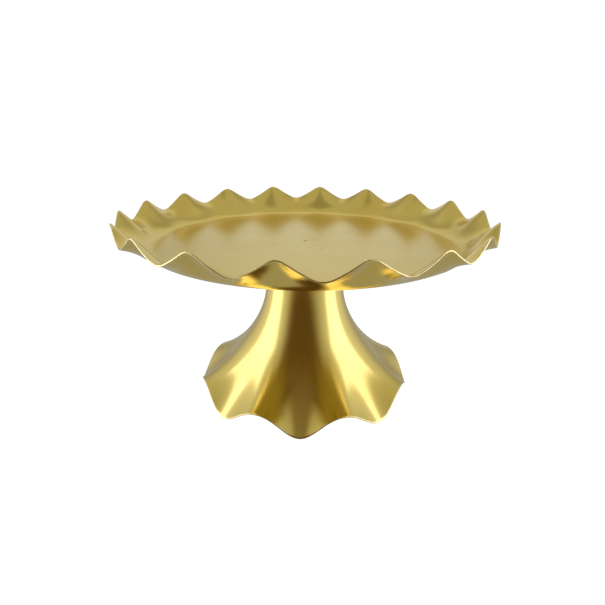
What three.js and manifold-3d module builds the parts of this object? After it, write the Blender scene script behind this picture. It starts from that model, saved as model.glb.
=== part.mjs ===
// Cake stand: a ruffled sheet-metal plate bolted on a ruffled trumpet foot.
// Millimetres, +Z up. The origin is on the table, under the centre of the foot.
// The front is -Y, and angles round the stand are counted from there towards +X.

import * as THREE from 'three';
import { mergeVertices } from 'three/addons/utils/BufferGeometryUtils.js';
import Module from 'manifold-3d';

const wasm = await Module();
wasm.setup();

const degrees = Math.PI / 180;

// Sheet metal and the gap between pieces that touch
const sheet = 1.2;
const contactGap = 0.3;

// Plate
const rimRadius = 150;
const rimHeight = 150.8;
const floorRadius = 127.5;
const floorHeight = 131;
const flangeBulge = 1.8;
const rippleCount = 18;
const rippleAngle = -4.4 * degrees;
const rippleHeight = 5.4;
const rippleFade = 1.3;
const plateRings = [0, 0.15, 0.35, 0.55, 0.75, 0.9, 1];
const plateSegments = rippleCount * 8;

// Foot
const footTop = 126.1;
const studHoleRadius = 4.6;
const shoulderRadius = 36;
const shoulderCorner = 3;
const shoulderTurns = [90 * degrees, 60 * degrees, 30 * degrees, 0];
const neckRings = 3;
const waistRadius = 32;
const waistHeight = 95;
const waistPull = 37;
const skirtRadius = 91.4;
const skirtPullIn = 25;
const skirtPullUp = 16.5;
const lobeCount = 8;
const lobeDepth = 7.2;
const lobePoint = 0.5;
const lobeReach = 0.75;
const lobeLean = 2 * degrees;
const lobeFade = 2.2;
const skirtRings = 9;
const footSegments = lobeCount * 10;

// Stud and its weld plate, metric 8 thread
const studPlateRadius = 15;
const studPlateThickness = 1.2;
const studRadius = 4;
const studCore = 3.3;
const studLength = 25;
const studShank = 6;
const studPoint = 1.25;
const threadPitch = 1.25;
const studSegments = 16;

// Cushion ring between plate and foot
const cushionInner = 17.5;
const cushionOuter = 31;
const cushionChamfer = 0.4;

// Washers
const washerRadius = 15;
const washerHole = 4.3;
const washerThickness = 1.6;
const springRadius = 7.3;
const springThickness = 2;
const springSplit = 8 * degrees;

// Wing nut
const hubSeatRadius = 8;
const hubEndRadius = 6.4;
const hubHeight = 9;
const nutBore = 4.3;
const wingSpan = 19;
const wingDrop = 18;
const wingRoot = 5;
const wingThickness = 3.2;
const wingRounding = 5.5;
const wingShoulder = 2;
const wingSegments = 8;
const nutChamfer = 0.8;

const roundSegments = 32;

// Heights of the faces that meet, from the plate down
const plateUnderside = floorHeight - sheet;
const studPlateTop = plateUnderside - contactGap;
const studPlateBottom = studPlateTop - studPlateThickness;
const footOuterTop = footTop + sheet;
const cushionBottom = footOuterTop + contactGap;
const studTop = studPlateBottom - contactGap;
const washerTop = footTop - contactGap;
const springTop = washerTop - washerThickness - contactGap;
const nutTop = springTop - springThickness - contactGap;

const gold = new THREE.MeshStandardMaterial({ color: 0xc9a850, roughness: 0.3, metalness: 1 });
const zinc = new THREE.MeshStandardMaterial({ color: 0xb4b6b8, roughness: 0.35, metalness: 1 });
const softBlack = new THREE.MeshStandardMaterial({ color: 0x2b2b2b, roughness: 0.85, metalness: 0 });

// A profile point: radius, height, and the share of the ruffle it takes, 0 to 1.
function at(radius, height, fade = 0) {
  return { radius, height, fade };
}

// The other side of a sheet, one thickness square off the given line.
// A positive thickness lies to the right of a line that runs outwards, which is below it.
function otherSide(line, thickness) {
  return line.map((point, index) => {
    const before = line[Math.max(index - 1, 0)];
    const after = line[Math.min(index + 1, line.length - 1)];
    const run = after.radius - before.radius;
    const rise = after.height - before.height;
    const length = Math.hypot(run, rise);
    const radius = point.radius + (thickness * rise) / length;
    return at(radius, point.height - (thickness * run) / length, point.fade);
  });
}

function spin(profile, segments, firstAngle = 0) {
  const points = profile.map((point) => new THREE.Vector2(point.radius, point.height));
  return new THREE.LatheGeometry(points, segments, firstAngle);
}

// Moves a spun profile's points out, up and round the axis by a wave that depends on the angle.
function ruffle(geometry, profile, wave) {
  const position = geometry.getAttribute('position');
  for (let index = 0; index < position.count; index += 1) {
    const { fade } = profile[index % profile.length];
    const x = position.getX(index);
    const z = position.getZ(index);
    const angle = Math.atan2(x, z);
    const { outward, upward, aside } = wave(angle);
    const radius = Math.hypot(x, z) + outward * fade;
    const height = position.getY(index) + upward * fade;
    const turned = angle + aside;
    position.setXYZ(index, radius * Math.sin(turned), height, radius * Math.cos(turned));
  }
  return geometry;
}

// Lathe work is spun about Y; the stand's axis is Z, with angle 0 at -Y.
function upright(geometry) {
  return geometry.rotateX(Math.PI / 2);
}

// A plain ring or disc with chamfered or square corners, between two heights.
function ring(innerRadius, outerRadius, bottom, top, chamfer = 0) {
  const profile = [
    at(innerRadius, bottom),
    at(outerRadius - chamfer, bottom),
    at(outerRadius, bottom + chamfer),
    at(outerRadius, top - chamfer),
    at(outerRadius - chamfer, top),
    at(innerRadius, top),
  ];
  const corners = chamfer > 0 ? profile : [profile[0], profile[2], profile[3], profile[5]];
  const closing = innerRadius > 0 ? [corners[0]] : [];
  return upright(spin([...corners, ...closing], roundSegments));
}

function cushionRing() {
  return ring(cushionInner, cushionOuter, cushionBottom, studPlateTop, cushionChamfer);
}

function plateWave(angle) {
  const upward = rippleHeight * Math.cos(rippleCount * (angle - rippleAngle));
  return { outward: 0, upward, aside: 0 };
}

function cakePlate() {
  const flange = plateRings.map((share) => {
    const radius = floorRadius + (rimRadius - floorRadius) * share;
    const bulge = flangeBulge * Math.sin(Math.PI * share);
    const height = floorHeight + (rimHeight - floorHeight) * share + bulge;
    return at(radius, height, share ** rippleFade);
  });
  const upperSide = [at(0, floorHeight), ...flange];
  const profile = [...otherSide(upperSide, sheet), ...upperSide.reverse()];
  return upright(ruffle(spin(profile, plateSegments, rippleAngle), profile, plateWave));
}

// Eight lobes hang down and stand out a little, with rounder arches between them.
// The four between the axes lean towards the front and the back lobe.
// Each lobe's tip is cut level and flat over one segment, where the stand rests on the table.
const tipFlat = Math.PI / footSegments;

function lobeRise(phase) {
  return -lobeDepth * Math.cos(phase) - lobePoint * Math.cos(2 * phase);
}

function footWave(angle) {
  const phase = lobeCount * angle;
  const lowest = lobeRise(lobeCount * tipFlat);
  return {
    outward: lobeReach * Math.cos(phase),
    upward: Math.max(lobeRise(phase), lowest),
    aside: -lobeLean * Math.sin(2 * angle),
  };
}

// Inner side of the foot, from the stud hole out over the top and down to the skirt's edge.
function footLine() {
  const corner = shoulderTurns.map((turn) => {
    const radius = shoulderRadius - shoulderCorner * (1 - Math.cos(turn));
    return at(radius, footTop - shoulderCorner * (1 - Math.sin(turn)));
  });
  const neck = new THREE.QuadraticBezierCurve(
    new THREE.Vector2(shoulderRadius, footTop - shoulderCorner),
    new THREE.Vector2(waistRadius, (footTop + waistHeight) / 2),
    new THREE.Vector2(waistRadius, waistHeight),
  );
  const edgeHeight = -lobeRise(lobeCount * tipFlat);
  const skirt = new THREE.CubicBezierCurve(
    new THREE.Vector2(waistRadius, waistHeight),
    new THREE.Vector2(waistRadius, waistHeight - waistPull),
    new THREE.Vector2(skirtRadius - skirtPullIn, edgeHeight + skirtPullUp),
    new THREE.Vector2(skirtRadius, edgeHeight),
  );
  const neckPoints = neck.getPoints(neckRings).slice(1, -1).map((point) => at(point.x, point.y));
  const skirtPoints = skirt.getPoints(skirtRings).map((point, index) => {
    const fade = (index / skirtRings) ** lobeFade;
    return at(point.x, point.y, fade);
  });
  return [at(studHoleRadius, footTop), ...corner, ...neckPoints, ...skirtPoints];
}

function pedestal() {
  const innerSide = footLine();
  const edge = innerSide[innerSide.length - 1];
  const outerSide = otherSide(innerSide.slice(0, -1), -sheet);
  outerSide.push(at(edge.radius + sheet, edge.height, edge.fade));
  const profile = [...innerSide, ...outerSide.reverse(), innerSide[0]];
  return upright(ruffle(spin(profile, footSegments, tipFlat), profile, footWave));
}

// Thread drawn as a stack of V rings, one for each pitch, below a plain shank.
function threadedStud() {
  const bottom = studTop - studLength;
  const threadTop = studTop - studShank;
  const rings = Math.floor((threadTop - bottom - studPoint) / threadPitch);
  const profile = [at(0, bottom), at(studCore, bottom)];
  for (let turn = 0; turn < rings; turn += 1) {
    const root = bottom + studPoint + turn * threadPitch;
    profile.push(at(studCore, root));
    profile.push(at(studRadius, root + threadPitch / 2));
  }
  profile.push(at(studCore, bottom + studPoint + rings * threadPitch));
  profile.push(at(studCore, studTop), at(0, studTop));
  return upright(spin(profile, studSegments));
}

function springWasher() {
  const outline = new THREE.Shape();
  outline.absarc(0, 0, springRadius, springSplit, 2 * Math.PI - springSplit, false);
  outline.absarc(0, 0, washerHole, 2 * Math.PI - springSplit, springSplit, true);
  outline.closePath();
  const settings = { depth: springThickness, bevelEnabled: false, curveSegments: roundSegments / 2 };
  return new THREE.ExtrudeGeometry(outline, settings).translate(0, 0, springTop - springThickness);
}

function solidOf(geometry) {
  const bare = geometry.clone();
  bare.deleteAttribute('normal');
  bare.deleteAttribute('uv');
  const merged = mergeVertices(bare);
  const vertProperties = new Float32Array(merged.getAttribute('position').array);
  const triVerts = new Uint32Array(merged.index.array);
  return new wasm.Manifold(new wasm.Mesh({ numProp: 3, vertProperties, triVerts }));
}

function geometryOf(solid) {
  const mesh = solid.getMesh();
  const geometry = new THREE.BufferGeometry();
  geometry.setAttribute('position', new THREE.BufferAttribute(mesh.vertProperties, 3));
  geometry.setIndex(new THREE.BufferAttribute(mesh.triVerts, 1));
  return geometry;
}

// The +X wing's outline in X and Z: it leaves the hub and spreads down and out to a round tip.
function wingOutline() {
  const tip = wingSpan - wingRounding;
  const tipHeight = wingRounding - wingDrop;
  const outline = new THREE.Shape();
  outline.moveTo(wingRoot, -nutChamfer);
  outline.lineTo(hubSeatRadius, -wingShoulder);
  outline.quadraticCurveTo(wingSpan, -wingRounding, wingSpan, tipHeight);
  outline.absarc(tip, tipHeight, wingRounding, 0, -Math.PI / 2, true);
  outline.quadraticCurveTo(hubSeatRadius, -hubHeight, wingRoot, nutChamfer - hubHeight);
  outline.closePath();
  return outline;
}

function wing(turn) {
  const settings = { depth: wingThickness, bevelEnabled: false, curveSegments: wingSegments };
  const blade = new THREE.ExtrudeGeometry(wingOutline(), settings);
  blade.translate(0, 0, -wingThickness / 2).rotateX(Math.PI / 2);
  return blade.rotateZ(turn).translate(0, 0, nutTop);
}

function wingNut() {
  const hub = upright(spin([
    at(0, nutTop - hubHeight),
    at(hubEndRadius, nutTop - hubHeight),
    at(hubSeatRadius, nutTop - nutChamfer),
    at(hubSeatRadius - nutChamfer, nutTop),
    at(0, nutTop),
  ], roundSegments));
  const bore = upright(spin([
    at(0, nutTop - wingDrop),
    at(nutBore, nutTop - wingDrop),
    at(nutBore, springTop),
    at(0, springTop),
  ], roundSegments));
  const body = solidOf(hub).add(solidOf(wing(0))).add(solidOf(wing(Math.PI)));
  return geometryOf(body.subtract(solidOf(bore)));
}

function piece(name, geometry, material) {
  const mesh = new THREE.Mesh(geometry, material);
  mesh.name = name;
  return mesh;
}

const stand = new THREE.Group();
stand.add(
  piece('cake_plate', cakePlate(), gold),
  piece('stud_plate', ring(0, studPlateRadius, studPlateBottom, studPlateTop), zinc),
  piece('threaded_stud', threadedStud(), zinc),
  piece('cushion_ring', cushionRing(), softBlack),
  piece('pedestal', pedestal(), gold),
  piece('flat_washer', ring(washerHole, washerRadius, washerTop - washerThickness, washerTop), zinc),
  piece('spring_washer', springWasher(), zinc),
  piece('wing_nut', wingNut(), zinc),
);

export default stand;
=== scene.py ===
import math

import bpy
from mathutils import Matrix, Vector


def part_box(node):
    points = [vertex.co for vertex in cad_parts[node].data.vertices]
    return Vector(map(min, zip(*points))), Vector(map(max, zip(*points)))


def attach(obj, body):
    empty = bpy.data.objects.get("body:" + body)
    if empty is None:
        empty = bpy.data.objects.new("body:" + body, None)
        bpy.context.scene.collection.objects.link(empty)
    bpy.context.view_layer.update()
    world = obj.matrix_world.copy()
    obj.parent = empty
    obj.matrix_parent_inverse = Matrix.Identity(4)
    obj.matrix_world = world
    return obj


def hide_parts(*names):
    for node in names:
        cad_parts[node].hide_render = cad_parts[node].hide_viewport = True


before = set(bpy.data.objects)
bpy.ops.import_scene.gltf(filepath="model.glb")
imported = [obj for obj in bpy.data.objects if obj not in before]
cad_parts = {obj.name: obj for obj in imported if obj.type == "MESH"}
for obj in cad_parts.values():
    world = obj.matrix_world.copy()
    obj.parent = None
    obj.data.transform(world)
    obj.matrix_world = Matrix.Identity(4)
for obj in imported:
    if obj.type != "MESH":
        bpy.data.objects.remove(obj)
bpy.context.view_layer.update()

mm = 0.001
turn = math.tau
upAxis = (0, 0, 1)
mergeGap = 0.002 * mm
sheetThickness = 1.2 * mm
noiseMiddle = 0.5  # what a noise texture varies about
white = (1, 1, 1, 1)
scene = bpy.context.scene


def clearSelection():
    if bpy.context.mode != "OBJECT":
        bpy.ops.object.mode_set(mode="OBJECT")
    bpy.ops.object.select_all(action="DESELECT")


def pick(piece):
    clearSelection()
    piece.select_set(True)
    bpy.context.view_layer.objects.active = piece


def newPiece(name):
    piece = bpy.context.active_object
    piece.name = name
    piece.data.name = name
    return piece


def profilePoint(radius, height):
    return Vector((radius, 0, height))


def bezier(points, share):
    points = [Vector(point) for point in points]
    while len(points) > 1:
        points = [near.lerp(far, share) for near, far in zip(points, points[1:])]
    return points[0]


def drawLine(name, points, closed=False):
    # a plane shrunk to one point, which is pulled along the line
    clearSelection()
    bpy.ops.mesh.primitive_plane_add(size=mm)
    piece = newPiece(name)
    bpy.ops.object.mode_set(mode="EDIT")
    bpy.ops.mesh.select_mode(type="VERT")  # a lone point can't be picked in face mode
    bpy.ops.mesh.select_all(action="SELECT")
    bpy.ops.mesh.merge(type="CENTER")
    bpy.ops.transform.translate(value=points[0])
    for here, there in zip(points, points[1:]):
        bpy.ops.mesh.extrude_region_move(TRANSFORM_OT_translate={"value": there - here})
    bpy.ops.mesh.select_all(action="SELECT")
    if closed:
        bpy.ops.mesh.remove_doubles(threshold=mergeGap)
    return piece


def spinShape(name, points, steps, closed=False):
    # the line spun once round the stand's axis; a closed line makes a solid ring
    piece = drawLine(name, points, closed)
    bpy.ops.mesh.spin(steps=steps, angle=turn, center=(0, 0, 0), axis=upAxis)
    bpy.ops.mesh.select_all(action="SELECT")
    bpy.ops.mesh.remove_doubles(threshold=mergeGap)
    bpy.ops.mesh.normals_make_consistent(inside=False)
    bpy.ops.object.mode_set(mode="OBJECT")
    return piece


def turnUp(shell):
    # the face nearest the axis ends up facing the ceiling
    middle = min(shell.data.polygons, key=lambda face: face.center.xy.length)
    if middle.normal.z < 0:
        pick(shell)
        bpy.ops.object.mode_set(mode="EDIT")
        bpy.ops.mesh.select_all(action="SELECT")
        bpy.ops.mesh.flip_normals()
        bpy.ops.object.mode_set(mode="OBJECT")


def addModifier(piece, kind, **settings):
    pick(piece)
    modifier = piece.modifiers.new(kind.lower(), kind)
    for key, value in settings.items():
        setattr(modifier, key, value)
    bpy.ops.object.modifier_apply(modifier=modifier.name)


def roundEdges(piece, width, segments, angle):
    addModifier(piece, "BEVEL", width=width, segments=segments, limit_method="ANGLE",
                angle_limit=math.radians(angle), harden_normals=False)


def smooth(piece, angle):
    pick(piece)
    bpy.ops.object.shade_smooth_by_angle(angle=math.radians(angle))


def roundTheStand(point):
    # angle round the stand from the front towards +X
    return math.atan2(point.x, -point.y)


def finishPiece(piece, body, slot, material, *nodes):
    if not piece.data.polygons:
        raise RuntimeError(piece.name + " came out empty")
    piece.data.materials.clear()
    piece.data.materials.append(material)
    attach(piece, body)
    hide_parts(*nodes)


class Wire:
    # an output socket; sums on wires become Math nodes
    def __init__(self, tree, socket):
        self.tree = tree
        self.socket = socket

    def combined(self, operation, first, second):
        sumNode = self.tree.nodes.new("ShaderNodeMath")
        sumNode.operation = operation
        feed(self.tree, sumNode.inputs[0], first)
        feed(self.tree, sumNode.inputs[1], second)
        return Wire(self.tree, sumNode.outputs[0])

    def __add__(self, other):
        return self.combined("ADD", self, other)

    def __radd__(self, other):
        return self.combined("ADD", other, self)

    def __sub__(self, other):
        return self.combined("SUBTRACT", self, other)

    def __rsub__(self, other):
        return self.combined("SUBTRACT", other, self)

    def __mul__(self, other):
        return self.combined("MULTIPLY", self, other)

    def __rmul__(self, other):
        return self.combined("MULTIPLY", other, self)

    def __truediv__(self, other):
        return self.combined("DIVIDE", self, other)

    def __pow__(self, other):
        return self.combined("POWER", self, other)


def feed(tree, socket, value):
    if isinstance(value, Wire):
        tree.links.new(value.socket, socket)
    else:
        socket.default_value = value


edgeLook = {
    "samples": 6,
    "alike": (0.85, 0.99),  # how alike the rounded and the true normal are on an edge and on a face
}


class Nodes:
    # one node tree, filled by node()
    def __init__(self, tree):
        self.tree = tree
        tree.nodes.clear()

    def node(self, kind, settings=None, inputs=None, output=0):
        made = self.tree.nodes.new(kind)
        for key, value in (settings or {}).items():
            setattr(made, key, value)
        for key, value in (inputs or {}).items():
            feed(self.tree, made.inputs[key], value)
        return Wire(self.tree, made.outputs[output]) if made.outputs else made

    def noise(self, where, scale, detail, roughness):
        return self.node("ShaderNodeTexNoise", {}, {
            "Vector": where, "Scale": scale, "Detail": detail, "Roughness": roughness})

    def step(self, value, low, high):
        # 0 below low, 1 above high, eased between
        return self.node("ShaderNodeMapRange", {"interpolation_type": "SMOOTHSTEP"}, {
            "Value": value, "From Min": low, "From Max": high})

    def mixColours(self, factor, first, second):
        return self.node("ShaderNodeMix", {"data_type": "RGBA"}, {
            0: factor, 6: first, 7: second}, output=2)

    def edges(self, width):
        # 1 where a rounded normal leaves the true one
        rounded = self.node("ShaderNodeBevel", {"samples": edgeLook["samples"]}, {"Radius": width})
        true = self.node("ShaderNodeNewGeometry", output="Normal")
        alike = self.node("ShaderNodeVectorMath", {"operation": "DOT_PRODUCT"}, {
            0: rounded, 1: true}, output="Value")
        return 1 - self.step(alike, *edgeLook["alike"])


def newMaterial(name):
    material = bpy.data.materials.new(name)
    material.use_nodes = True
    return material, Nodes(material.node_tree)


goldLook = {
    "colour": (0.74, 0.575, 0.135, 1),
    "warmer": (0.73, 0.545, 0.115, 1),
    "rubbed": (0.86, 0.72, 0.32, 1),
    "roughness": 0.2,
    "clouds": (22, 4, 0.6),  # scale, detail and roughness of each noise
    "skin": (900, 2, 0.5),
    "rubs": (260, 5, 0.7),
    "cloudEdge": (0.35, 0.7),
    "rubEdge": (0.35, 0.62),
    "cloudSpread": 0.08,  # how much clouds, rubs, wear and marks change the roughness
    "rubSpread": 0.06,
    "wornPolish": 0.06,
    "markDulling": 0.2,
    "dentStrength": 0.05,
    "dentDepth": 0.6 * mm,
    "markDent": 0.5,
    "skinStrength": 0.03,
    "skinDepth": 0.03 * mm,
    "coat": 0.06,
    "coatRoughness": 0.25,
    "markLevel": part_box("cake_plate")[0].z + sheetThickness,
    "markColour": (0.2, 0.14, 0.04, 1),
    "markCore": 0.3,  # the share of a mark's radius that is marked most
    "marks": ((0, 0, 2.4 * mm, 0.9), (6 * mm, 5 * mm, 7 * mm, 0.1),
              (14.5 * mm, -24 * mm, 2 * mm, 0.4)),  # across, along, radius, strength
}


def goldSheet():
    look = goldLook
    material, nodes = newMaterial("satinGold")
    where = nodes.node("ShaderNodeTexCoord", output="Object")
    edge = nodes.node("ShaderNodeAttribute", {"attribute_name": "edgeWear"}, output="Fac")
    cloud = nodes.noise(where, *look["clouds"])
    skin = nodes.noise(where, *look["skin"])
    rubs = nodes.noise(where, *look["rubs"])
    tint = nodes.mixColours(nodes.step(cloud, *look["cloudEdge"]), look["colour"], look["warmer"])
    worn = edge * nodes.step(rubs, *look["rubEdge"])
    marked = 0
    for across, along, radius, strength in look["marks"]:
        gap = nodes.node("ShaderNodeVectorMath", {"operation": "DISTANCE"}, {
            0: where, 1: (across, along, look["markLevel"])}, output="Value")
        marked = marked + (1 - nodes.step(gap, radius * look["markCore"], radius)) * strength
    rubbed = nodes.mixColours(worn, tint, look["rubbed"])
    colour = nodes.mixColours(marked, rubbed, look["markColour"])
    roughness = look["roughness"] + (cloud - noiseMiddle) * look["cloudSpread"]
    roughness = roughness + (rubs - noiseMiddle) * look["rubSpread"]
    roughness = roughness - worn * look["wornPolish"] + marked * look["markDulling"]
    dents = nodes.node("ShaderNodeBump", {}, {
        "Strength": look["dentStrength"], "Distance": look["dentDepth"],
        "Height": cloud - marked * look["markDent"]})
    bump = nodes.node("ShaderNodeBump", {}, {
        "Strength": look["skinStrength"], "Distance": look["skinDepth"],
        "Height": skin, "Normal": dents})
    shader = nodes.node("ShaderNodeBsdfPrincipled", {}, {
        "Base Color": colour, "Metallic": 1.0, "Roughness": roughness, "Normal": bump,
        "Coat Weight": look["coat"], "Coat Roughness": look["coatRoughness"]})
    nodes.node("ShaderNodeOutputMaterial", {}, {"Surface": shader})
    return material


zincLook = {
    "colour": (0.62, 0.64, 0.66, 1),
    "dull": (0.50, 0.51, 0.50, 1),
    "bare": (0.78, 0.78, 0.77, 1),
    "roughness": 0.34,
    "spangleScale": 700,
    "grime": (180, 5, 0.65),  # scale, detail and roughness
    "wornEdge": (0.3, 0.6),
    "dullEdge": (0.4, 0.75),
    "grimeSpread": 0.25,  # how much grime, spangle and wear change the roughness
    "spangleSpread": 0.05,
    "wornPolish": 0.1,
    "bumpStrength": 0.15,
    "bumpDepth": 0.05 * mm,
    "edgeWidth": 0.35 * mm,
}


def zincSteel():
    look = zincLook
    material, nodes = newMaterial("zincSteel")
    where = nodes.node("ShaderNodeTexCoord", output="Object")
    spangle = nodes.node("ShaderNodeTexVoronoi", {}, {"Vector": where, "Scale": look["spangleScale"]})
    grime = nodes.noise(where, *look["grime"])
    worn = nodes.edges(look["edgeWidth"]) * nodes.step(grime, *look["wornEdge"])
    plated = nodes.mixColours(nodes.step(grime, *look["dullEdge"]), look["colour"], look["dull"])
    colour = nodes.mixColours(worn, plated, look["bare"])
    roughness = look["roughness"] + (grime - noiseMiddle) * look["grimeSpread"]
    roughness = roughness + spangle * look["spangleSpread"] - worn * look["wornPolish"]
    bump = nodes.node("ShaderNodeBump", {}, {
        "Strength": look["bumpStrength"], "Distance": look["bumpDepth"], "Height": grime})
    shader = nodes.node("ShaderNodeBsdfPrincipled", {}, {
        "Base Color": colour, "Metallic": 1.0, "Roughness": roughness, "Normal": bump})
    nodes.node("ShaderNodeOutputMaterial", {}, {"Surface": shader})
    return material


rubberLook = {
    "colour": (0.022, 0.022, 0.023, 1),
    "dusty": (0.06, 0.058, 0.054, 1),
    "scuffed": (0.11, 0.108, 0.1, 1),
    "roughness": 0.7,
    "roughnessSpread": 0.3,
    "dust": (120, 6, 0.7),  # scale, detail and roughness of each noise
    "grain": (2500, 2, 0.5),
    "scuffEdge": (0.4, 0.65),
    "dustEdge": (0.45, 0.75),
    "grainStrength": 0.4,
    "grainDepth": 0.08 * mm,
    "edgeWidth": 0.3 * mm,
}


def softRubber():
    look = rubberLook
    material, nodes = newMaterial("softRubber")
    where = nodes.node("ShaderNodeTexCoord", output="Object")
    dust = nodes.noise(where, *look["dust"])
    grain = nodes.noise(where, *look["grain"])
    scuff = nodes.edges(look["edgeWidth"]) * nodes.step(dust, *look["scuffEdge"])
    powdered = nodes.mixColours(nodes.step(dust, *look["dustEdge"]), look["colour"], look["dusty"])
    colour = nodes.mixColours(scuff, powdered, look["scuffed"])
    roughness = look["roughness"] + (dust - noiseMiddle) * look["roughnessSpread"]
    bump = nodes.node("ShaderNodeBump", {}, {
        "Strength": look["grainStrength"], "Distance": look["grainDepth"], "Height": grain})
    shader = nodes.node("ShaderNodeBsdfPrincipled", {}, {
        "Base Color": colour, "Roughness": roughness, "Normal": bump})
    nodes.node("ShaderNodeOutputMaterial", {}, {"Surface": shader})
    return material


gold = goldSheet()
zinc = zincSteel()
rubber = softRubber()
print("finishes made")


plateBottom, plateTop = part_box("cake_plate")
plateLook = {
    "rimRadius": plateTop.x - 0.75 * mm,
    "rimHeight": plateTop.z - 5.8 * mm,
    "floorEdge": 127.5 * mm,  # where the floor and the flange would meet without a fillet
    "filletReach": 7 * mm,
    "floorRings": (0, 0.25, 0.5, 0.75, 0.92),  # shares of the flat floor's radius
    "flangeBulge": 1.8 * mm,  # how far the flange stands above a straight cone
    "ripples": 18,
    "rippleTurn": math.radians(-4.4),
    "rippleHeight": 5.8 * mm,
    "peakPoint": 0.3 * mm,  # narrows the peaks
    "flankStraight": 0.3 * mm,  # straightens the flanks between peak and valley
    "rippleFade": 1.3,
    "stepsPerRipple": 20,
    "flangeRings": 24,
    "filletSteps": 10,
    "edgeRound": 0.5 * mm,
    "edgeSegments": 3,
    "crease": 60,
    "wearWidth": 1.6 * mm,
}


def floorLevel():
    return plateBottom.z + sheetThickness


def flangePoint(share):
    look = plateLook
    width = look["rimRadius"] - look["floorEdge"]
    rise = (look["rimHeight"] - floorLevel()) * share + look["flangeBulge"] * math.sin(math.pi * share)
    return profilePoint(look["floorEdge"] + width * share, floorLevel() + rise)


def plateOutline():
    look = plateLook
    reach = look["filletReach"]
    firstShare = reach / (look["rimRadius"] - look["floorEdge"])
    flatEnd = profilePoint(look["floorEdge"] - reach, floorLevel())
    corner = [flatEnd, profilePoint(look["floorEdge"], floorLevel()), flangePoint(firstShare)]
    points = [profilePoint(flatEnd.x * share, floorLevel()) for share in look["floorRings"]]
    points += [bezier(corner, step / look["filletSteps"]) for step in range(look["filletSteps"])]
    points += [flangePoint(firstShare + (1 - firstShare) * ring / look["flangeRings"])
               for ring in range(look["flangeRings"] + 1)]
    return points


def rippleRise(phase):
    look = plateLook
    return (look["rippleHeight"] * math.cos(phase) + look["peakPoint"] * math.cos(2 * phase)
            + look["flankStraight"] * math.cos(3 * phase))


def rufflePlate(plate):
    look = plateLook
    width = look["rimRadius"] - look["floorEdge"]
    wear = plate.data.attributes.new("edgeWear", "FLOAT", "POINT")
    for vertex in plate.data.vertices:
        radius = vertex.co.xy.length
        share = min(max((radius - look["floorEdge"]) / width, 0), 1)
        phase = look["ripples"] * (roundTheStand(vertex.co) - look["rippleTurn"])
        vertex.co.z += rippleRise(phase) * share ** look["rippleFade"]
        wear.data[vertex.index].value = max(1 - (look["rimRadius"] - radius) / look["wearWidth"], 0)


def makePlate():
    look = plateLook
    plate = spinShape("ruffledPlate", plateOutline(), look["ripples"] * look["stepsPerRipple"])
    turnUp(plate)
    rufflePlate(plate)
    addModifier(plate, "SOLIDIFY", thickness=sheetThickness, offset=-1, use_even_offset=True)
    roundEdges(plate, look["edgeRound"], look["edgeSegments"], look["crease"])
    smooth(plate, look["crease"])
    finishPiece(plate, "stand", "gold_sheet", gold, "cake_plate")


makePlate()
print("plate made")


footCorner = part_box("pedestal")[1]
footLook = {
    "studHole": 4.6 * mm,
    "topRing": 20 * mm,
    "shoulderRadius": 36 * mm,
    "shoulderCorner": 3 * mm,
    "shoulderSteps": 6,
    "neckSteps": 10,
    "skirtSteps": 48,
    "waistRadius": 32 * mm,
    "waistHeight": 95 * mm,
    "waistPull": 37 * mm,
    "skirtRadius": footCorner.x - 1.35 * mm,
    "skirtPullIn": 25 * mm,
    "skirtPullUp": 16.5 * mm,
    "lobes": 8,
    "lobeDepth": 7.2 * mm,
    "lobePoint": 0.5 * mm,
    "lobeReach": 0.75 * mm,
    "lobeLean": math.radians(2),  # the lobes between the axes lean towards front and back
    "lobeFade": 2.0,
    "stepsPerLobe": 40,
    "edgeRound": 0.45 * mm,
    "edgeSegments": 3,
    "crease": 60,
    "wearWidth": 1.6 * mm,
}


def lobeRise(phase):
    look = footLook
    return -look["lobeDepth"] * math.cos(phase) - look["lobePoint"] * math.cos(2 * phase)


def footOutline():
    look = footLook
    top, corner = footCorner.z - sheetThickness, look["shoulderCorner"]
    points = [profilePoint(look["studHole"], top), profilePoint(look["topRing"], top)]
    for step in range(look["shoulderSteps"] + 1):
        bend = math.radians(90 - 90 / look["shoulderSteps"] * step)
        points.append(profilePoint(look["shoulderRadius"] - corner * (1 - math.cos(bend)),
                                   top - corner * (1 - math.sin(bend))))
    neck = [profilePoint(look["shoulderRadius"], top - corner),
            profilePoint(look["waistRadius"], (top + look["waistHeight"]) / 2),
            profilePoint(look["waistRadius"], look["waistHeight"])]
    points += [bezier(neck, step / look["neckSteps"]) for step in range(1, look["neckSteps"])]
    edgeHeight = -lobeRise(0)
    skirt = [profilePoint(look["waistRadius"], look["waistHeight"]),
             profilePoint(look["waistRadius"], look["waistHeight"] - look["waistPull"]),
             profilePoint(look["skirtRadius"] - look["skirtPullIn"], edgeHeight + look["skirtPullUp"]),
             profilePoint(look["skirtRadius"], edgeHeight)]
    points += [bezier(skirt, step / look["skirtSteps"]) for step in range(look["skirtSteps"] + 1)]
    return points


def ruffleFoot(foot):
    look = footLook
    width = look["skirtRadius"] - look["waistRadius"]
    wear = foot.data.attributes.new("edgeWear", "FLOAT", "POINT")
    for vertex in foot.data.vertices:
        radius = vertex.co.xy.length
        if vertex.co.z > look["waistHeight"]:
            continue
        share = min(max((radius - look["waistRadius"]) / width, 0), 1)
        fade = share ** look["lobeFade"]
        around = roundTheStand(vertex.co)
        phase = look["lobes"] * around
        outward = 1 + look["lobeReach"] * fade * math.cos(phase) / radius
        vertex.co.x *= outward
        vertex.co.y *= outward
        vertex.co.z += lobeRise(phase) * fade
        vertex.co.rotate(Matrix.Rotation(-look["lobeLean"] * math.sin(2 * around) * share, 3, "Z"))
        wear.data[vertex.index].value = max(1 - (look["skirtRadius"] - radius) / look["wearWidth"], 0)


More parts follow.
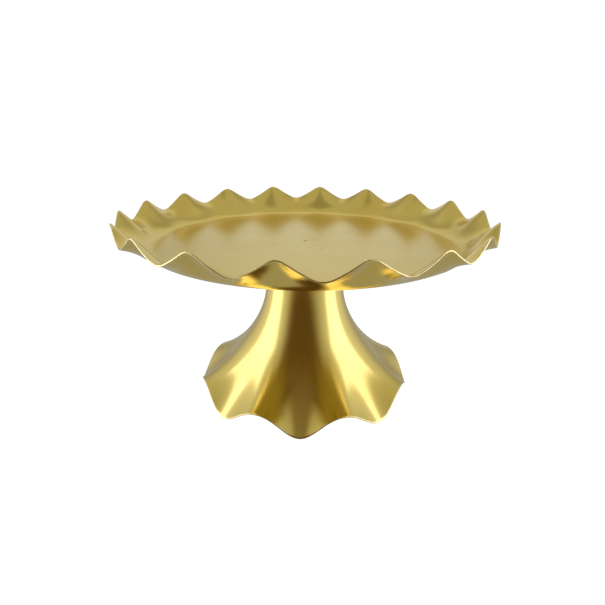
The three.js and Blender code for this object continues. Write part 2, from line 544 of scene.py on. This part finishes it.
def makeFoot():
    look = footLook
    foot = spinShape("ruffledFoot", footOutline(), look["lobes"] * look["stepsPerLobe"])
    turnUp(foot)
    ruffleFoot(foot)
    addModifier(foot, "SOLIDIFY", thickness=sheetThickness, offset=1, use_even_offset=True)
    roundEdges(foot, look["edgeRound"], look["edgeSegments"], look["crease"])
    smooth(foot, look["crease"])
    finishPiece(foot, "stand", "gold_sheet", gold, "pedestal")


makeFoot()
print("foot made")


doublerLook = {
    "corner": 0.4 * mm,
    "beadWidth": 1.5 * mm,
    "beadDrop": 0.5 * mm,
    "beadGap": 0.1 * mm,
    "beadShoulder": (0.6, 0.8),  # shares of the bead's width and drop
    "spots": 6,
    "spotRing": 10 * mm,
    "ringWidth": 2.2 * mm,
    "steps": 48,
    "spotLand": 0.225 * mm,
    "spotSlope": 0.15 * mm,
    "spotDepth": 0.3 * mm,
    "downwards": -0.5,  # the z of a normal on a face that looks down
    "crease": 40,
}


def makeDoubler():
    # round steel plate with pressed-in weld spots and a weld bead round the stud
    look = doublerLook
    low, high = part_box("stud_plate")
    radius, corner = high.x, look["corner"]
    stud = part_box("threaded_stud")[1].x
    inner = look["spotRing"] - look["ringWidth"] / 2
    outer = look["spotRing"] + look["ringWidth"] / 2
    weld = stud + look["beadGap"]
    beadOut, beadDown = look["beadShoulder"]
    outline = [profilePoint(0, high.z), profilePoint(radius - corner, high.z),
               profilePoint(radius, high.z - corner), profilePoint(radius, low.z + corner),
               profilePoint(radius - corner, low.z), profilePoint(outer, low.z),
               profilePoint(inner, low.z), profilePoint(stud + look["beadWidth"], low.z),
               profilePoint(stud + look["beadWidth"] * beadOut, low.z - look["beadDrop"] * beadDown),
               profilePoint(weld, low.z - look["beadDrop"]),
               profilePoint(weld, low.z), profilePoint(0, low.z)]
    doubler = spinShape("studDoubler", outline, look["steps"])
    bpy.ops.object.mode_set(mode="EDIT")
    bpy.ops.mesh.select_mode(type="FACE")
    bpy.ops.mesh.select_all(action="DESELECT")
    bpy.ops.object.mode_set(mode="OBJECT")
    perSpot = look["steps"] // look["spots"]
    for face in doubler.data.polygons:
        onRing = inner < face.center.xy.length < outer and face.normal.z < look["downwards"]
        place = math.floor((roundTheStand(face.center) % turn) / turn * look["steps"])
        face.select = onRing and place % perSpot == 0
    bpy.ops.object.mode_set(mode="EDIT")
    bpy.ops.mesh.inset(thickness=look["spotLand"], depth=0, use_individual=True)
    bpy.ops.mesh.inset(thickness=look["spotSlope"], depth=-look["spotDepth"], use_individual=True)
    bpy.ops.object.mode_set(mode="OBJECT")
    smooth(doubler, look["crease"])
    finishPiece(doubler, "stand", "zinc_steel", zinc, "stud_plate")


studLook = {
    "coreRadius": 3.35 * mm,
    "shank": 6 * mm,
    "pitch": 1.25 * mm,
    "ringsPerTurn": 10,
    "flankSlope": 1.35,
    "crestFlat": 0.1,
    "point": 1.2 * mm,
    "steps": 32,
    "crease": 50,
}


def makeStud():
    # a plain bar whose skin is then drawn in and out along a helix
    look = studLook
    low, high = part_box("threaded_stud")
    major, core = high.x, look["coreRadius"]
    threadTop = high.z - look["shank"]
    rings = round((threadTop - low.z) / look["pitch"] * look["ringsPerTurn"])
    outline = [profilePoint(0, high.z), profilePoint(major, high.z)]
    outline += [profilePoint(major, threadTop + (low.z - threadTop) * ring / rings)
                for ring in range(rings + 1)]
    outline.append(profilePoint(0, low.z))
    stud = spinShape("threadedStud", outline, look["steps"])
    for vertex in stud.data.vertices:
        radius = vertex.co.xy.length
        if radius < core or vertex.co.z > threadTop:
            continue
        height = vertex.co.z - low.z
        swing = (height / look["pitch"] - math.atan2(vertex.co.y, vertex.co.x) / turn) % 1
        slope = look["flankSlope"] * abs(2 * swing - 1) - look["crestFlat"]
        depth = min(max(slope, 0), 1)  # flat root and flat crest
        runOut = min((threadTop - vertex.co.z) / look["pitch"], 1)
        threaded = major - (major - core) * depth * runOut
        pointed = core + (major - core) * min(height / look["point"], 1)
        vertex.co.xy *= min(threaded, pointed) / radius
    smooth(stud, look["crease"])
    finishPiece(stud, "stand", "zinc_steel", zinc, "threaded_stud")


cushionLook = {
    "bore": 17.5 * mm,
    "grooves": 3,
    "grooveDepth": 0.35 * mm,
    "grooveSlope": 0.2,  # the share of a groove's width that each of its sides takes
    "edgeRound": 0.25 * mm,
    "edgeSegments": 2,
    "roundAngle": 50,
    "crease": 40,
    "steps": 96,
}


def makeCushion():
    # moulded ring, grooved underneath so that it grips the foot
    look = cushionLook
    low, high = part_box("cushion_ring")
    bore, outer = look["bore"], high.x
    width = (outer - bore) / (2 * look["grooves"] + 1)
    side = width * look["grooveSlope"]
    outline = [profilePoint(bore, high.z), profilePoint(outer, high.z), profilePoint(outer, low.z)]
    for groove in range(look["grooves"], 0, -1):
        near = bore + (2 * groove - 1) * width
        outline += [profilePoint(near + width, low.z),
                    profilePoint(near + width - side, low.z + look["grooveDepth"]),
                    profilePoint(near + side, low.z + look["grooveDepth"]),
                    profilePoint(near, low.z)]
    outline += [profilePoint(bore, low.z), profilePoint(bore, high.z)]
    cushion = spinShape("cushionRing", outline, look["steps"], closed=True)
    roundEdges(cushion, look["edgeRound"], look["edgeSegments"], look["roundAngle"])
    smooth(cushion, look["crease"])
    finishPiece(cushion, "stand", "soft_ring", rubber, "cushion_ring")


washerLook = {
    "bore": 4.3 * mm,
    "rollOver": 0.35 * mm,
    "rollCorner": 0.3,  # how much of the roll-over is left at its middle point
    "burr": 0.08 * mm,
    "crease": 50,
    "steps": 96,
}


def makeWasher():
    # punched washer: rolled over on the side the punch came in, sharp on the other
    look = washerLook
    low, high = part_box("flat_washer")
    bore, outer, roll, burr = look["bore"], high.x, look["rollOver"], look["burr"]
    cut = roll * look["rollCorner"]
    outline = [profilePoint(bore + burr, high.z), profilePoint(outer - burr, high.z),
               profilePoint(outer, high.z - burr), profilePoint(outer, low.z + roll),
               profilePoint(outer - cut, low.z + cut), profilePoint(outer - roll, low.z),
               profilePoint(bore + roll, low.z), profilePoint(bore + cut, low.z + cut),
               profilePoint(bore, low.z + roll), profilePoint(bore, high.z - burr),
               profilePoint(bore + burr, high.z)]
    washer = spinShape("flatWasher", outline, look["steps"], closed=True)
    smooth(washer, look["crease"])
    finishPiece(washer, "washers", "zinc_steel", zinc, "flat_washer")


springLook = {
    "bore": 4.3 * mm,
    "split": math.radians(16),
    "offset": 0.25 * mm,
    "corner": 0.2 * mm,
    "cornerSegments": 2,
    "roundAngle": 50,
    "crease": 40,
    "steps": 72,
}


def makeSpringWasher():
    # a flat bar swept almost all the way round, climbing a little from one end to the other
    look = springLook
    low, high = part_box("spring_washer")
    bore, outer = look["bore"], high.y
    clearSelection()
    bpy.ops.mesh.primitive_plane_add(size=1)
    spring = newPiece("springWasher")
    bpy.ops.object.mode_set(mode="EDIT")
    bpy.ops.transform.resize(value=(outer - bore, high.z - low.z - look["offset"], 1))
    bpy.ops.transform.rotate(value=math.radians(90), orient_axis="X", center_override=(0, 0, 0))
    bpy.ops.transform.translate(value=((outer + bore) / 2, 0, (high.z + low.z) / 2))
    bpy.ops.mesh.spin(steps=look["steps"], angle=turn - look["split"], center=(0, 0, 0), axis=upAxis)
    bpy.ops.mesh.select_all(action="SELECT")
    bpy.ops.mesh.remove_doubles(threshold=mergeGap)
    bpy.ops.mesh.normals_make_consistent(inside=False)
    bpy.ops.object.mode_set(mode="OBJECT")
    for vertex in spring.data.vertices:
        around = math.atan2(vertex.co.y, vertex.co.x) % turn
        share = min(around / (turn - look["split"]), 1)
        vertex.co.z += (share - 0.5) * look["offset"]
        vertex.co = Matrix.Rotation(look["split"] / 2, 3, "Z") @ vertex.co
    roundEdges(spring, look["corner"], look["cornerSegments"], look["roundAngle"])
    smooth(spring, look["crease"])
    finishPiece(spring, "washers", "zinc_steel", zinc, "spring_washer")


wingLook = {
    "hubTop": 8 * mm,
    "hubFoot": 6.4 * mm,
    "hubHeight": 9 * mm,
    "bore": 4.3 * mm,
    "boreChamfer": 0.7 * mm,
    "root": 5.2 * mm,
    "shoulder": 2 * mm,
    "bladeInset": 1 * mm,  # how far inside the hub's top edge the blade begins
    "thickness": 3.2 * mm,
    "tipRadius": 5.5 * mm,
    "tipSteps": 10,
    "curveSteps": 8,
    "edgeRound": 1.2 * mm,
    "edgeSegments": 4,
    "roundAngle": 60,
    "crease": 40,
    "hubSteps": 64,
}


def wingOutline():
    # from the hub's shoulder out over the wing, round its tip and back to the hub's foot
    look = wingLook
    low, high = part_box("wing_nut")
    top, span, tip = high.z, high.x, look["tipRadius"]
    tipLevel = low.z + tip
    outer = [profilePoint(look["hubTop"] - look["bladeInset"], top - look["shoulder"]),
             profilePoint(span, top - tip), profilePoint(span, tipLevel)]
    inner = [profilePoint(span - tip, low.z), profilePoint(look["hubFoot"], top - look["hubHeight"]),
             profilePoint(look["root"], top - look["hubHeight"] + look["boreChamfer"])]
    points = [profilePoint(look["root"], top - look["shoulder"])]
    points += [bezier(outer, step / look["curveSteps"]) for step in range(look["curveSteps"])]
    for step in range(look["tipSteps"]):
        bend = math.radians(90) * step / look["tipSteps"]
        points.append(profilePoint(span - tip + tip * math.cos(bend), tipLevel - tip * math.sin(bend)))
    points += [bezier(inner, step / look["curveSteps"]) for step in range(look["curveSteps"] + 1)]
    return points


def makeWing():
    look = wingLook
    outline = wingOutline()
    wing = drawLine("wingBlade", outline + outline[:1], closed=True)
    bpy.ops.mesh.edge_face_add()
    bpy.ops.transform.translate(value=(0, -look["thickness"] / 2, 0))
    bpy.ops.mesh.extrude_region_move(TRANSFORM_OT_translate={"value": (0, look["thickness"], 0)})
    bpy.ops.mesh.select_all(action="SELECT")
    bpy.ops.mesh.normals_make_consistent(inside=False)
    bpy.ops.object.mode_set(mode="OBJECT")
    roundEdges(wing, look["edgeRound"], look["edgeSegments"], look["roundAngle"])
    return wing


def makeWingNut():
    look = wingLook
    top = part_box("wing_nut")[1].z
    bore, chamfer, foot = look["bore"], look["boreChamfer"], top - look["hubHeight"]
    outline = [profilePoint(bore + chamfer, top), profilePoint(look["hubTop"] - chamfer, top),
               profilePoint(look["hubTop"], top - chamfer), profilePoint(look["hubFoot"], foot + chamfer),
               profilePoint(look["hubFoot"] - chamfer, foot), profilePoint(bore + chamfer, foot),
               profilePoint(bore, foot + chamfer), profilePoint(bore, top - chamfer),
               profilePoint(bore + chamfer, top)]
    nut = spinShape("wingNut", outline, look["hubSteps"], closed=True)
    rightWing = makeWing()
    pick(rightWing)
    bpy.ops.object.duplicate()
    leftWing = bpy.context.active_object
    bpy.ops.object.mode_set(mode="EDIT")
    bpy.ops.mesh.select_all(action="SELECT")
    bpy.ops.transform.rotate(value=math.pi, orient_axis="Z", center_override=(0, 0, 0))
    bpy.ops.object.mode_set(mode="OBJECT")
    for wing in (rightWing, leftWing):
        addModifier(nut, "BOOLEAN", operation="UNION", solver="EXACT", object=wing)
        bpy.data.objects.remove(wing)
    smooth(nut, look["crease"])
    finishPiece(nut, "wing_nut", "zinc_steel", zinc, "wing_nut")


makeDoubler()
makeStud()
makeCushion()
makeWasher()
makeSpringWasher()
makeWingNut()
print("fastening made")


cameraLook = {
    "distance": 394.6 * mm,
    "height": 225.9 * mm,
    "heading": math.radians(1.63),
    "downwards": math.radians(20.91),
    "roll": math.radians(0.65),
    "lens": 28.53,
    "sensor": 36,
    "shiftX": -0.0034,
    "shiftY": 0.0008,
    "clipStart": 10 * mm,
}


def makeCamera():
    look = cameraLook
    place = Vector((look["distance"] * math.sin(look["heading"]),
                    -look["distance"] * math.cos(look["heading"]), look["height"]))
    turned = (Matrix.Rotation(look["heading"], 3, "Z")
              @ Matrix.Rotation(math.radians(90) - look["downwards"], 3, "X")
              @ Matrix.Rotation(look["roll"], 3, "Z"))
    bpy.ops.object.camera_add(location=place, rotation=turned.to_euler())
    camera = bpy.context.active_object
    camera.data.sensor_width = look["sensor"]
    camera.data.lens = look["lens"]
    camera.data.shift_x = look["shiftX"]
    camera.data.shift_y = look["shiftY"]
    camera.data.clip_start = look["clipStart"]
    scene.camera = camera


studioLook = {
    "backGrey": 0.4,
    "backMiddle": 0.74,
    "middleEdge": (0.84, 1.0),
    "ceilingLift": 0.18,
    "ceilingEdge": (0.5, 0.95),
    "frontDark": 0.125,
    "frontHigh": 0.38,
    "frontTint": (1.0, 0.62, 0.26, 1),
    "frontEdge": (0.7, 0.96),
    "frontRise": (0.62, 1.0),
    "frontTurn": 0.1,  # the dark front stands a little to the left
    "zenithPull": 0.1,  # how far the dark front reaches over the ceiling
    "zenithBlur": 0.05,
    "tableBright": 0.44,
    "tableEdge": (0.02, 0.2),
    "nearTable": (0.6, 0.8),
    "glowColour": (0.5, 0.53, 0.78, 1),
    "glowEdge": (0.2, 0.9),
    "glowTop": (0.4, 0.9),
    "glowFoot": (0.35, 0.6),
    "tableMottle": (3, 3, 0.5),  # scale, detail and roughness
    "tableEven": 0.98,
    "tableSpread": 0.04,
    "tableSeen": 1.1,  # what the camera sees of it
    "tableFront": 0.36,
    "tableSize": 3.2,
    "sideBright": 2.4,
    "sideColour": (0.56, 0.58, 1.0),
    "sideSize": (0.5, 1.0),
    "sideDistance": 0.75,
    "sideForward": 0.12,
    "sideHeight": 0.06,
}


def makeWorld():
    # grey room with a dark open front; the camera itself sees plain white
    look = studioLook
    world = bpy.data.worlds.new("studio")
    world.use_nodes = True
    scene.world = world
    nodes = Nodes(world.node_tree)
    way = nodes.node("ShaderNodeTexCoord", output="Generated")
    split = nodes.node("ShaderNodeSeparateXYZ", {}, {"Vector": way}).socket.node
    across, along, up = [Wire(nodes.tree, socket) for socket in split.outputs]
    down = up * -1
    level = (across * across + along * along + look["zenithBlur"]) ** 0.5
    table = nodes.step(down, *look["tableEdge"])
    near = nodes.step(down, *look["nearTable"])
    forward = up * look["zenithPull"] - along - across * look["frontTurn"]
    facing = nodes.step(forward / level, *look["frontEdge"]) * (1 - near)
    high = nodes.step(up, *look["frontRise"])
    middle = nodes.step(along / level, *look["middleEdge"])
    wall = look["backGrey"] + middle * (look["backMiddle"] - look["backGrey"])
    wall = wall + nodes.step(up, *look["ceilingEdge"]) * look["ceilingLift"]
    room = wall + table * (look["tableBright"] - wall)
    front = look["frontDark"] + high * (look["frontHigh"] - look["frontDark"])
    light = room + facing * (front - room)
    grey = nodes.node("ShaderNodeCombineColor", {}, {"Red": light, "Green": light, "Blue": light})
    tint = nodes.mixColours(facing * (1 - high), white, look["frontTint"])
    tinted = nodes.node("ShaderNodeMix", {"data_type": "RGBA", "blend_type": "MULTIPLY"}, {
        0: 1.0, 6: grey, 7: tint}, output=2)
    glow = nodes.step(across * across / (level * level), *look["glowEdge"])
    glow = glow * (1 - nodes.step(up, *look["glowTop"])) * (1 - nodes.step(down, *look["glowFoot"]))
    glowing = nodes.node("ShaderNodeMix", {"data_type": "RGBA", "blend_type": "ADD"}, {
        0: glow, 6: tinted, 7: look["glowColour"]}, output=2)
    seen = nodes.node("ShaderNodeLightPath", output="Is Camera Ray")
    colour = nodes.mixColours(seen, glowing, white)
    background = nodes.node("ShaderNodeBackground", {}, {"Color": colour, "Strength": 1.0})
    nodes.node("ShaderNodeOutputWorld", {}, {"Surface": background})


def areaLight(name, place, aim, size, brightness, colour):
    facing = (Vector(aim) - Vector(place)).to_track_quat("-Z", "Y")
    bpy.ops.object.light_add(type="AREA", location=place, rotation=facing.to_euler())
    light = bpy.context.active_object
    light.name = name
    light.data.shape = "RECTANGLE"
    light.data.size, light.data.size_y = size
    light.data.energy = brightness * math.pi * size[0] * size[1]
    light.data.color = colour


def makeLights():
    look = studioLook
    for name, side in (("softboxLeft", -1), ("softboxRight", 1)):
        place = (side * look["sideDistance"], -look["sideForward"], look["sideHeight"])
        aim = (0, -look["sideForward"], look["sideHeight"])
        areaLight(name, place, aim, look["sideSize"], look["sideBright"], look["sideColour"])


def makeTable():
    # white from above, clear from underneath; it ends a little way in front of the stand
    look = studioLook
    clearSelection()
    bpy.ops.mesh.primitive_plane_add(size=look["tableSize"])
    table = newPiece("studioTable")
    table.visible_glossy = False
    bpy.ops.object.mode_set(mode="EDIT")
    bpy.ops.transform.translate(value=(0, look["tableSize"] / 2 - look["tableFront"], 0))
    bpy.ops.object.mode_set(mode="OBJECT")
    material, nodes = newMaterial("paleTable")
    where = nodes.node("ShaderNodeTexCoord", output="Object")
    mottle = nodes.noise(where, *look["tableMottle"])
    seen = nodes.node("ShaderNodeLightPath", output="Is Camera Ray")
    behind = nodes.node("ShaderNodeNewGeometry", output="Backfacing")
    brightness = look["tableBright"] * (look["tableEven"] + mottle * look["tableSpread"])
    glow = nodes.node("ShaderNodeEmission", {}, {
        "Color": white, "Strength": brightness + seen * (look["tableSeen"] - brightness)})
    clear = nodes.node("ShaderNodeBsdfTransparent")
    shader = nodes.node("ShaderNodeMixShader", {}, {0: behind, 1: glow, 2: clear})
    nodes.node("ShaderNodeOutputMaterial", {}, {"Surface": shader})
    table.data.materials.append(material)


makeCamera()
makeWorld()
makeLights()
makeTable()
scene.view_settings.view_transform = "Standard"
scene.view_settings.look = "None"
print("studio made")
